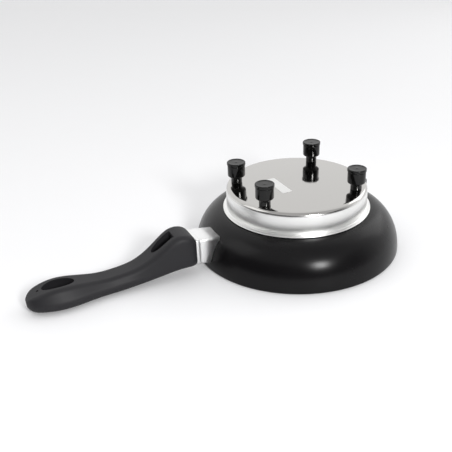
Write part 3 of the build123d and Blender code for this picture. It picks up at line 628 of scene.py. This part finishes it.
class FRYINGPAN_OT_stage(bpy.types.Operator):
    """Set up the camera, the floor, the studio and the lights"""

    bl_idname = "frying_pan.stage"
    bl_label = "Stage"

    def execute(self, context):
        values = settings().stage
        self.camera(context, values)
        self.floor(values)
        self.studio(context, values)
        self.lights(context, values)
        return {"FINISHED"}

    def camera(self, context, values):
        """The camera at the photograph's angle."""
        data = bpy.data.cameras.new("camera")
        data.lens = values.lens
        data.sensor_width = values.sensor
        data.clip_start = values.near_clip
        camera = bpy.data.objects.new("camera", data)
        context.scene.collection.objects.link(camera)
        turn = Matrix.Rotation(values.heading, 4, "Z")
        turn = turn @ Matrix.Rotation(QUARTER - values.pitch, 4, "X")
        turn = turn @ Matrix.Rotation(values.roll, 4, "Z")
        camera.matrix_world = Matrix.Translation(Vector(values.place)) @ turn
        context.scene.camera = camera

    def floor(self, values):
        """The plain pale floor."""
        half = values.floor_radius
        mesh = bpy.data.meshes.new("floor")
        square = [(-half, -half, 0), (half, -half, 0), (half, half, 0), (-half, half, 0)]
        mesh.from_pydata(square, [], [(0, 1, 2, 3)])
        floor = link("floor", mesh)
        floor.location.z = -values.floor_drop
        paper = speckled(
            "floor_paper", values.floor_colour, 0.6, vary=0.01, grain=900.0, bump=0.0, gloss=0.2
        )
        shader = paper.node_tree.nodes["Principled BSDF"]
        shader.inputs["Emission Color"].default_value = (1.0, 1.0, 1.0, 1.0)
        shader.inputs["Emission Strength"].default_value = values.floor_glow
        dress(floor, paper)

    def studio(self, context, values):
        """A studio that is white on the far side, softer overhead, and dark low on the near side."""
        world = bpy.data.worlds.new("studio")
        world.use_nodes = True
        tree = world.node_tree
        back = tree.nodes["Background"]
        direction = tree.nodes.new("ShaderNodeTexCoord").outputs["Generated"]
        split = tree.nodes.new("ShaderNodeSeparateXYZ")
        tree.links.new(direction, split.inputs["Vector"])
        overhead = self.ramp(
            tree, split.outputs["Z"], values.overhead_start, values.overhead_full, 0.0, values.overhead_light
        )
        along = tree.nodes.new("ShaderNodeVectorMath")
        along.operation = "DOT_PRODUCT"
        along.inputs[1].default_value = values.shade_side
        tree.links.new(direction, along.inputs[0])
        side = self.ramp(
            tree, along.outputs["Value"], values.shade_start, values.shade_full, 1.0, values.shade_light
        )
        light = tree.nodes.new("ShaderNodeMath")
        light.operation = "MAXIMUM"
        tree.links.new(overhead, light.inputs[0])
        tree.links.new(side, light.inputs[1])
        tree.links.new(light.outputs["Value"], back.inputs["Color"])
        back.inputs["Strength"].default_value = values.world_strength
        context.scene.world = world
        context.scene.view_settings.view_transform = "Standard"

    def ramp(self, tree, value, start, end, low, high):
        """A smooth step of a value between two levels."""
        node = tree.nodes.new("ShaderNodeMapRange")
        node.interpolation_type = "SMOOTHSTEP"
        tree.links.new(value, node.inputs["Value"])
        node.inputs["From Min"].default_value = start
        node.inputs["From Max"].default_value = end
        node.inputs["To Min"].default_value = low
        node.inputs["To Max"].default_value = high
        return node.outputs["Result"]

    def lights(self, context, values):
        """Soft boxes that face the pan: one for the highlight on its side, one each side."""
        for side in ("near", "right", "left"):
            place = Vector(getattr(values, side + "_place"))
            data = bpy.data.lights.new(side + "_box", "AREA")
            data.shape = "SQUARE"
            data.size = getattr(values, side + "_size")
            data.energy = getattr(values, side + "_power")
            lamp = bpy.data.objects.new(side + "_box", data)
            lamp.location = place
            lamp.visible_camera = False
            lamp.rotation_euler = (-place).to_track_quat("-Z", "Y").to_euler()
            context.scene.collection.objects.link(lamp)


class FRYINGPAN_OT_pan(bpy.types.Operator):
    """Turn the pan and add the lug and the bosses that its screws bite in"""

    bl_idname = "frying_pan.pan"
    bl_label = "Pan"

    def execute(self, context):
        sizes = settings().pan
        mesh = turned_mesh("pan_shell", self.outline(sizes), sizes.facets)
        work = bmesh.new()
        work.from_mesh(mesh)
        self.add_lug(work, sizes)
        self.add_bosses(work, sizes)
        work.to_mesh(mesh)
        work.free()
        pan = link("pan_shell", mesh)
        smooth(mesh, sizes.crease)
        dress(pan, finish("pan_coating"))
        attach(pan, "root")
        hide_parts("pan_body")
        return {"FINISHED"}

    def outline(self, sizes):
        """From the middle of the underside, down the side, round the rim and back inside."""
        rise = sizes.height - sizes.edge
        inner = sizes.radius - sizes.wall
        outer_turns = turns(0, -QUARTER, sizes.edge_steps)[1:]
        inner_turns = turns(-QUARTER, -2 * QUARTER, sizes.edge_steps)[1:]
        path = [(0, sizes.height)]
        path += self.side(sizes, sizes.radius - sizes.flat_radius, rise)
        path += arc(sizes.radius - sizes.edge, sizes.edge, sizes.edge, outer_turns)
        path += arc(inner + sizes.inner_edge, sizes.inner_edge, sizes.inner_edge, inner_turns)
        path += self.side(sizes, inner - sizes.flat_radius, rise - sizes.floor)[::-1]
        path.append((0, sizes.height - sizes.floor))
        return path

    def side(self, sizes, wide, rise):
        """A quarter of an ellipse from the flat down to the rim."""
        return [
            (sizes.flat_radius + wide * math.cos(turn), sizes.edge + rise * math.sin(turn))
            for turn in turns(QUARTER, 0, sizes.side_steps)
        ]

    def add_lug(self, work, sizes):
        """The lug that the handle screw bites in, sloped along the screw."""
        lug = bmesh.ops.create_cube(work, size=1.0)["verts"]
        place = Matrix.Translation((-sizes.lug_face + sizes.lug_length / 2, 0, sizes.lug_middle))
        place = place @ Matrix.Rotation(sizes.lug_tilt, 4, "Y")
        place = place @ Matrix.Diagonal((sizes.lug_length, sizes.lug_width, sizes.lug_thickness, 1))
        bmesh.ops.transform(work, matrix=place, verts=lug)

    def add_bosses(self, work, sizes):
        """A post from the pan's underside up to each piece that is screwed to it."""
        for radius, seat, x, y in self.bosses(sizes):
            post = bmesh.ops.create_cone(
                work, cap_ends=True, segments=sizes.boss_facets, radius1=radius, radius2=radius,
                depth=seat - sizes.height,
            )["verts"]
            middle = (seat + sizes.height) / 2
            bmesh.ops.transform(work, matrix=Matrix.Translation((x, y, middle)), verts=post)

    def bosses(self, sizes):
        """Radius, top and place of each boss: reflector, earth tag, and the clip's two."""
        reflector_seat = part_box("reflector_plate")[0][2]
        tag_low, tag_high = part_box("earth_tag")
        tag_radius = (tag_high[1] - tag_low[1]) / 2
        clip_low, clip_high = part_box("thermostat_clip")
        clip_middle = (clip_low[1] + clip_high[1]) / 2
        clip_radius = tag_radius * sizes.clip_boss
        inset = (clip_high[1] - clip_low[1]) * sizes.clip_inset
        return [
            (tag_radius * sizes.reflector_boss, reflector_seat, 0.0, 0.0),
            (tag_radius, tag_low[2], tag_low[0] + tag_radius, 0.0),
            (clip_radius, clip_low[2], clip_low[0] + inset, clip_middle),
            (clip_radius, clip_low[2], clip_high[0] - inset, clip_middle),
        ]


class FRYINGPAN_OT_cup(bpy.types.Operator):
    """Turn the drawn cup with its rolled lip and cut the inlet's opening"""

    bl_idname = "frying_pan.cup"
    bl_label = "Base cup"

    def execute(self, context):
        sizes = settings().cup
        low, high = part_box("base_cup")
        mesh = turned_mesh("base_cup_sheet", self.outline(sizes, high[0], low[2], high[2]), sizes.facets)
        cup = link("base_cup_sheet", mesh)
        self.cut_opening(context, cup, sizes, high[0])
        smooth(cup.data, sizes.crease)
        dress(cup, finish("polished_steel"))
        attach(cup, "root")
        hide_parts("base_cup")
        return {"FINISHED"}

    def outline(self, sizes, lip_reach, bottom, top):
        """The cup's outside from the middle of its flat to the lip, and back inside."""
        wall = sizes.wall_radius
        corner = sizes.corner_radius
        lip = sizes.lip_radius
        flare = bottom + sizes.cove_height
        neck = wall - sizes.groove_depth
        bend = turns(QUARTER, 0, sizes.corner_steps)
        roll = turns(QUARTER, -QUARTER, sizes.lip_steps)[1:]
        outside = [(0, top)]
        outside += arc(wall - corner, top - corner, corner, bend)
        outside += [(wall, flare + sizes.groove_height), (neck, flare)]
        outside += self.cove(sizes, neck, flare, lip_reach - lip, bottom + 2 * lip)
        outside += arc(lip_reach - lip, bottom + lip, lip, roll)
        inside = [(0, top - sizes.sheet)]
        inside += arc(wall - corner, top - corner, corner - sizes.sheet, bend)
        inside += self.cove(sizes, wall - sizes.sheet, flare, lip_reach - 2 * lip, bottom + lip)
        return outside + inside[::-1]

    def cove(self, sizes, radius, height, end_radius, end_height):
        """A quarter of an ellipse that sweeps outwards as it goes down."""
        wide = end_radius - radius
        tall = height - end_height
        return [
            (radius + wide * (1 - math.cos(turn)), height - tall * math.sin(turn))
            for turn in turns(0, QUARTER, sizes.cove_steps)
        ]

    def cut_opening(self, context, cup, sizes, lip_reach):
        """Cuts the inlet's opening with a box that goes right through the wall."""
        reach = 2 * (lip_reach - sizes.wall_radius) + sizes.corner_radius
        work = bmesh.new()
        bmesh.ops.create_cube(work, size=1.0)
        work.transform(
            Matrix.Translation((sizes.wall_radius, 0, centre_of("inlet_body").z))
            @ Matrix.Diagonal((2 * reach, sizes.opening_width, sizes.opening_height, 1))
        )
        cutter = link("opening", mesh_from("opening", work))
        cut = cup.modifiers.new("opening", "BOOLEAN")
        cut.operation = "DIFFERENCE"
        cut.solver = "EXACT"
        cut.object = cutter
        finish_modifiers(context, cup)
        bpy.data.objects.remove(cutter)


class FRYINGPAN_OT_ferrule(bpy.types.Operator):
    """Form the bright tube between the pan and the grip"""

    bl_idname = "frying_pan.ferrule"
    bl_label = "Ferrule"

    def execute(self, context):
        sizes = settings().ferrule
        work = bmesh.new()
        rows = [self.root_row(work, sizes, settings().pan)]
        for distance, inset in self.stations(sizes):
            section = self.section(sizes, distance, inset)
            rows.append([work.verts.new((-distance, across, height)) for across, height in section])
        bridge(work, rows)
        mesh = mesh_from("ferrule_tube", work)
        tube = link("ferrule_tube", mesh)
        smooth(mesh, sizes.crease)
        wall = tube.modifiers.new("wall", "SOLIDIFY")
        wall.thickness = sizes.sheet
        wall.offset = -1.0
        finish_modifiers(context, tube)
        dress(tube, finish("bright_ferrule"))
        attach(tube, "root")
        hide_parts("handle_ferrule")
        return {"FINISHED"}

    def root_row(self, work, sizes, pan):
        """The tube's pan end, cut to the pan's curved side."""
        row = []
        for across, height in self.section(sizes, sizes.root, 0):
            distance = self.pan_side(pan, across, height) + sizes.pan_gap
            row.append(work.verts.new((-distance, across, height)))
        return row

    def pan_side(self, pan, across, height):
        """How far out the pan's side lies at a height, that far across the handle's line."""
        share = max(0.0, height - pan.edge) / (pan.height - pan.edge)
        curve = math.sqrt(max(0.0, 1 - share ** 2))
        radius = pan.flat_radius + (pan.radius - pan.flat_radius) * curve
        return math.sqrt(radius ** 2 - across ** 2)

    def stations(self, sizes):
        """Distance and inset of each section: the pressed groove, then the end turned in."""
        groove = sizes.end - sizes.groove_inset
        step = sizes.groove_step
        shoulder = sizes.groove_depth * sizes.groove_shoulder
        return [
            (groove - 2 * step, 0.0),
            (groove - step, shoulder),
            (groove, sizes.groove_depth),
            (groove + step, shoulder),
            (groove + 2 * step, 0.0),
            (sizes.end - sizes.end_roll, 0.0),
            (sizes.end, sizes.end_roll),
            (sizes.end, 2 * sizes.end_roll),
        ]

    def section(self, sizes, distance, inset):
        """The tube's outline at a distance from the pan's axis."""
        share = (distance - sizes.root) / (sizes.end - sizes.root)
        bottom = sizes.root_bottom + (sizes.end_bottom - sizes.root_bottom) * share
        top = sizes.root_top + (sizes.end_top - sizes.root_top) * share
        return self.ring(sizes, sizes.width / 2 - inset, bottom + inset, top - inset)

    def ring(self, sizes, half, bottom, top):
        """A rounded rectangle of width and height points, counter-clockwise."""
        corner = sizes.corner_radius
        centres = [
            (half - corner, bottom + corner, -QUARTER),
            (half - corner, top - corner, 0.0),
            (corner - half, top - corner, QUARTER),
            (corner - half, bottom + corner, 2 * QUARTER),
        ]
        points = []
        for across, height, start in centres:
            points += arc(across, height, corner, turns(start, start + QUARTER, sizes.corner_steps))
        return points


class FRYINGPAN_OT_feet(bpy.types.Operator):
    """Turn one foot with soft edges and set it at each foot's place"""

    bl_idname = "frying_pan.feet"
    bl_label = "Feet"

    def execute(self, context):
        sizes = settings().feet
        low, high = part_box(FEET[0])
        single_mesh = turned_mesh("single_foot", self.outline(sizes, high[2] - low[2]), sizes.facets)
        smooth(single_mesh, sizes.crease)
        single = link("single_foot", single_mesh)
        points = bpy.data.meshes.new("feet")
        points.from_pydata(self.places(), [], [])
        feet = link("feet", points)
        tree = self.tree()
        pattern = feet.modifiers.new("pattern", "NODES")
        pattern.node_group = tree
        inputs = [item for item in tree.interface.items_tree if item.in_out == "INPUT"]
        sockets = {item.name: item.identifier for item in inputs}
        pattern[sockets["Foot"]] = single
        pattern[sockets["Finish"]] = finish("foot_plastic")
        finish_modifiers(context, feet)
        bpy.data.objects.remove(single)
        dress(feet, finish("foot_plastic"))
        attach(feet, "root")
        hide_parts(*FEET)
        return {"FINISHED"}

    def outline(self, sizes, height):
        """The foot's outline from the base up to the middle of its face."""
        lip = height - sizes.lip_height
        notch = lip - sizes.notch_height
        inner = sizes.body_radius - sizes.notch_depth
        dish = height - sizes.dish_depth
        dot = dish + sizes.dot_height
        return rounded([
            (0, 0),
            (sizes.neck_radius, 0),
            (sizes.neck_radius, sizes.neck_height),
            (sizes.body_radius, sizes.neck_height + sizes.chamfer),
            (sizes.body_radius, notch),
            (inner, notch),
            (inner, lip),
            (sizes.lip_radius, lip),
            (sizes.lip_radius, height),
            (sizes.dish_radius + sizes.dish_slope, height),
            (sizes.dish_radius, dish),
            (sizes.dot_radius + sizes.dot_slope, dish),
            (sizes.dot_radius, dot),
            (0, dot),
        ], sizes.softness, sizes.soft_steps)

    def places(self):
        """The middle of each foot's base."""
        places = []
        for name in FEET:
            middle = centre_of(name)
            places.append((middle.x, middle.y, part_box(name)[0][2]))
        return places

    def tree(self):
        """Instances of one foot on every point, made real, with their material."""
        tree = bpy.data.node_groups.new("foot_pattern", "GeometryNodeTree")
        tree.interface.new_socket(name="Geometry", in_out="INPUT", socket_type="NodeSocketGeometry")
        tree.interface.new_socket(name="Foot", in_out="INPUT", socket_type="NodeSocketObject")
        tree.interface.new_socket(name="Finish", in_out="INPUT", socket_type="NodeSocketMaterial")
        tree.interface.new_socket(name="Geometry", in_out="OUTPUT", socket_type="NodeSocketGeometry")
        entry = tree.nodes.new("NodeGroupInput")
        leave = tree.nodes.new("NodeGroupOutput")
        info = tree.nodes.new("GeometryNodeObjectInfo")
        copies = tree.nodes.new("GeometryNodeInstanceOnPoints")
        real = tree.nodes.new("GeometryNodeRealizeInstances")
        paint = tree.nodes.new("GeometryNodeSetMaterial")
        tree.links.new(entry.outputs["Foot"], info.inputs["Object"])
        tree.links.new(entry.outputs["Geometry"], copies.inputs["Points"])
        tree.links.new(info.outputs["Geometry"], copies.inputs["Instance"])
        tree.links.new(copies.outputs["Instances"], real.inputs["Geometry"])
        tree.links.new(real.outputs["Geometry"], paint.inputs["Geometry"])
        tree.links.new(entry.outputs["Finish"], paint.inputs["Material"])
        tree.links.new(paint.outputs["Geometry"], leave.inputs["Geometry"])
        return tree


class FryingPanSettings(bpy.types.PropertyGroup):
    """All the values of the add-on."""

    finish: PointerProperty(type=PanFinish)
    stage: PointerProperty(type=StageSettings)
    pan: PointerProperty(type=PanSizes)
    cup: PointerProperty(type=CupSizes)
    ferrule: PointerProperty(type=FerruleSizes)
    feet: PointerProperty(type=FootSizes)


class FRYINGPAN_PT_panel(bpy.types.Panel):
    """Lists the operators in the sidebar"""

    bl_idname = "FRYINGPAN_PT_panel"
    bl_label = "Frying pan"
    bl_space_type = "VIEW_3D"
    bl_region_type = "UI"
    bl_category = "Frying pan"

    def draw(self, context):
        for name in STEPS:
            self.layout.operator("frying_pan." + name)


CLASSES = [
    PanFinish,
    StageSettings,
    PanSizes,
    CupSizes,
    FerruleSizes,
    FootSizes,
    FryingPanSettings,
    FRYINGPAN_OT_finishes,
    FRYINGPAN_OT_stage,
    FRYINGPAN_OT_pan,
    FRYINGPAN_OT_cup,
    FRYINGPAN_OT_ferrule,
    FRYINGPAN_OT_feet,
    FRYINGPAN_PT_panel,
]


def register():
    """Adds the classes and the scene's values."""
    for each in CLASSES:
        bpy.utils.register_class(each)
    bpy.types.Scene.frying_pan = PointerProperty(type=FryingPanSettings)


def unregister():
    """Takes them away again."""
    del bpy.types.Scene.frying_pan
    for each in reversed(CLASSES):
        bpy.utils.unregister_class(each)


def build_steps():
    """Calls the operators in order."""
    for name in STEPS:
        getattr(bpy.ops.frying_pan, name)()


def main():
    """Makes the whole part."""
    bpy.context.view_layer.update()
    register()
    build_steps()


if __name__ == "__main__":
    main()
